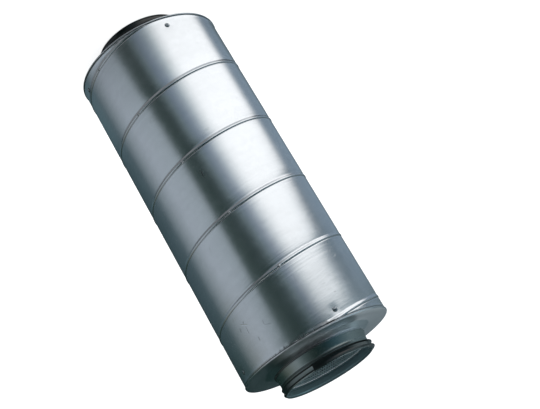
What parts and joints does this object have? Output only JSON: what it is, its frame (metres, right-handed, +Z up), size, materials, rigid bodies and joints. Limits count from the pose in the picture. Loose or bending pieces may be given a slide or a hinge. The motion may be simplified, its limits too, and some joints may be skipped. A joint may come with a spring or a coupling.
{
  "type": "duct sound attenuator",
  "caption": "Round duct sound attenuator: a spiral-seamed steel casing with flat end caps, lip-sealed spigots and a perforated inner tube wrapped in mineral wool.",
  "frame": {"origin": "centre of the lower mouth's edge, on the airway's axis, in the plane that the part stands on", "axes": "+Z runs up the airway, from the lower spigot to the upper one; X and Y are square to it"},
  "size_m": [0.263, 0.263, 0.6876],
  "materials": {
    "galvanised_steel": "smooth zinc coating with a fine grain and handling scuffs",
    "perforated_steel": "smooth zinc coating, punched",
    "seal_rubber": "moulded, slightly shiny",
    "rivet_aluminium": "drawn",
    "mandrel_steel": "broken end",
    "mineral_wool": "matted fibres",
    "fleece": "thin non-woven sheet"
  },
  "bodies": {
    "root": {"outer_casing": "galvanised_steel", "upper_end_cap": "galvanised_steel", "lower_end_cap": "galvanised_steel", "upper_spigot": "galvanised_steel", "lower_spigot": "galvanised_steel", "upper_lip_seal": "seal_rubber", "lower_lip_seal": "seal_rubber", "perforated_tube": "perforated_steel", "fleece_lining": "fleece", "wool_mat": "mineral_wool", "lower_rivet_1": "rivet_aluminium", "lower_rivet_2": "rivet_aluminium", "lower_rivet_3": "rivet_aluminium", "lower_rivet_4": "rivet_aluminium", "upper_rivet_1": "rivet_aluminium", "upper_rivet_2": "rivet_aluminium", "upper_rivet_3": "rivet_aluminium", "upper_rivet_4": "rivet_aluminium", "lower_rivet_mandrel_1": "mandrel_steel", "lower_rivet_mandrel_2": "mandrel_steel", "lower_rivet_mandrel_3": "mandrel_steel", "lower_rivet_mandrel_4": "mandrel_steel", "upper_rivet_mandrel_1": "mandrel_steel", "upper_rivet_mandrel_2": "mandrel_steel", "upper_rivet_mandrel_3": "mandrel_steel", "upper_rivet_mandrel_4": "mandrel_steel"}
  },
  "joints": []
}
